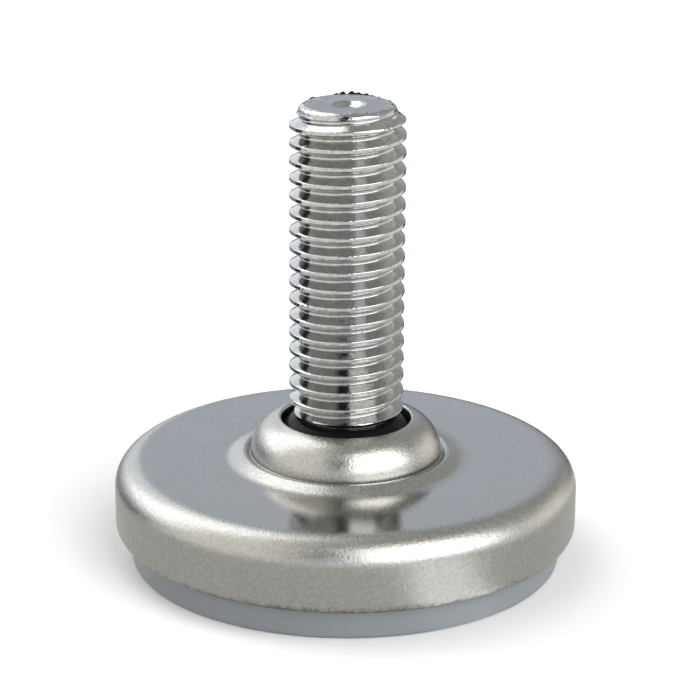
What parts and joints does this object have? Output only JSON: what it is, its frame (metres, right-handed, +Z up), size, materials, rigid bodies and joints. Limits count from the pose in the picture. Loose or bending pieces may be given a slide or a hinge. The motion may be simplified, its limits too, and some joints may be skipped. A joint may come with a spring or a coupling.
{
  "type": "furniture leveling foot",
  "caption": "Round leveling foot: a right-hand M10 stud on a ball joint in a nickel-plated pressed steel base with a grey plastic sole.",
  "frame": {"origin": "centre of the sole's underside, on the floor", "axes": "+Z up the stud's axis, away from the floor; X and Y across the round base"},
  "size_m": [0.04, 0.04, 0.04],
  "materials": {
    "stud_chrome": "bright chrome plate",
    "liner_black": "black, semi gloss",
    "seat_nylon": "natural nylon",
    "inner_steel": "plain pressed steel",
    "shell_nickel": "satin nickel plate",
    "sole_grey": "moulded, matt blue-grey"
  },
  "bodies": {
    "foot": {"housing_shell": "shell_nickel", "retainer_plate": "inner_steel", "thrust_washer": "inner_steel", "sole": "sole_grey"},
    "seat": {"swivel_seat": "seat_nylon"},
    "liner": {"ball_liner": "liner_black"},
    "stud": {"threaded_stud": "stud_chrome"}
  },
  "joints": [
    {"name": "tilt_direction", "type": "hinge", "parent": "foot", "child": "seat", "pos_m": [0, 0, 0.0071], "axis": [0, 0, 1], "continuous": true},
    {"name": "stud_tilt", "type": "hinge", "parent": "seat", "child": "liner", "pos_m": [0, 0, 0.0071], "axis": [1, 0, 0], "range_deg": [-7, 7]},
    {"name": "stud_spin", "type": "hinge", "parent": "liner", "child": "stud", "pos_m": [0, 0, 0.0071], "axis": [0, 0, 1], "continuous": true}
  ]
}
